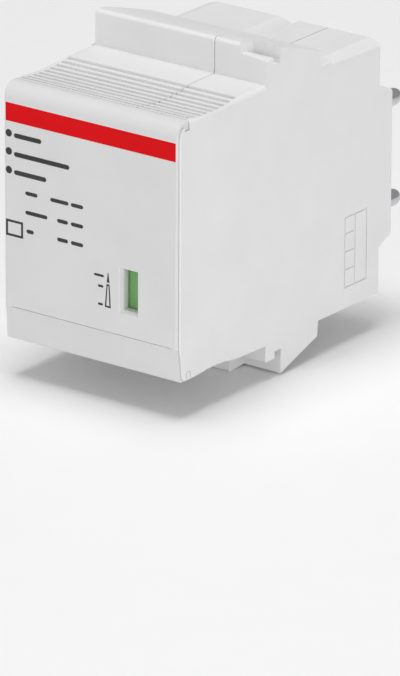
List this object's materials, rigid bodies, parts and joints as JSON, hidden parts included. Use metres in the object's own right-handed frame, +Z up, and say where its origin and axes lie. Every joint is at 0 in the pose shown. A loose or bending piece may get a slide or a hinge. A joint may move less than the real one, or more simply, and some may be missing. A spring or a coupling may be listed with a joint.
{
  "type": "surge arrester plug-in cartridge",
  "caption": "Plug-in surge arrester cartridge for a rail base: light grey two-module housing with ribbed grips, latch fins, red stripe, status window and rear plug pins.",
  "frame": {"origin": "middle of the rear seating face, between the plug pins", "axes": "+Y out of the rear along the plug pins, so the labelled front looks to -Y; +X to the right seen from the front; +Z up as installed"},
  "size_m": [0.0356, 0.0664, 0.0572],
  "materials": {
    "shell_plastic": "fine moulded texture, light grey",
    "cover_plastic": "fine moulded texture, light grey",
    "stripe_red": "smooth printed red",
    "insulation": "smooth",
    "varistor_coat": "epoxy coated",
    "brass_sheet": "rolled sheet",
    "solder": "dull solder",
    "plated_pin": "bright plating",
    "steel": "drawn",
    "copper_arm": "rolled copper alloy",
    "lever_plastic": "smooth",
    "flag_green": "smooth green",
    "flag_red": "smooth red"
  },
  "bodies": {
    "housing": {"left_shell": "shell_plastic", "right_shell": "shell_plastic", "front_cover": "cover_plastic", "red_stripe": "stripe_red", "partition": "insulation", "varistor_a": "varistor_coat", "varistor_b": "varistor_coat", "outer_electrode": "brass_sheet", "common_electrode": "brass_sheet", "inner_electrode": "brass_sheet", "bridge_strap": "brass_sheet", "solder_pad": "solder", "line_bar": "brass_sheet", "earth_bar": "brass_sheet", "line_pin_left": "plated_pin", "line_pin_right": "plated_pin", "earth_pin_left": "plated_pin", "earth_pin_right": "plated_pin", "pivot_bracket": "brass_sheet", "pivot_pin": "steel", "trip_spring": "steel"},
    "lever": {"disconnector_arm": "copper_arm", "arm_rivet": "steel", "trip_lever": "lever_plastic"},
    "slider": {"flag_slider": "lever_plastic", "green_flag": "flag_green", "red_flag": "flag_red"}
  },
  "joints": [
    {"name": "trip_hinge", "type": "hinge", "parent": "housing", "child": "lever", "pos_m": [0.0086, -0.0166, 0.00885], "axis": [-1, 0, 0], "range_deg": [0, 13.35], "deforming": ["trip_spring"]},
    {"name": "flag_slide", "type": "slide", "parent": "housing", "child": "slider", "axis": [0, 0, 1], "range_m": [0, 0.0083]}
  ],
  "couplings": [
    {"joint": "flag_slide", "follows": "trip_hinge", "m_per_rad": 0.03562}
  ]
}
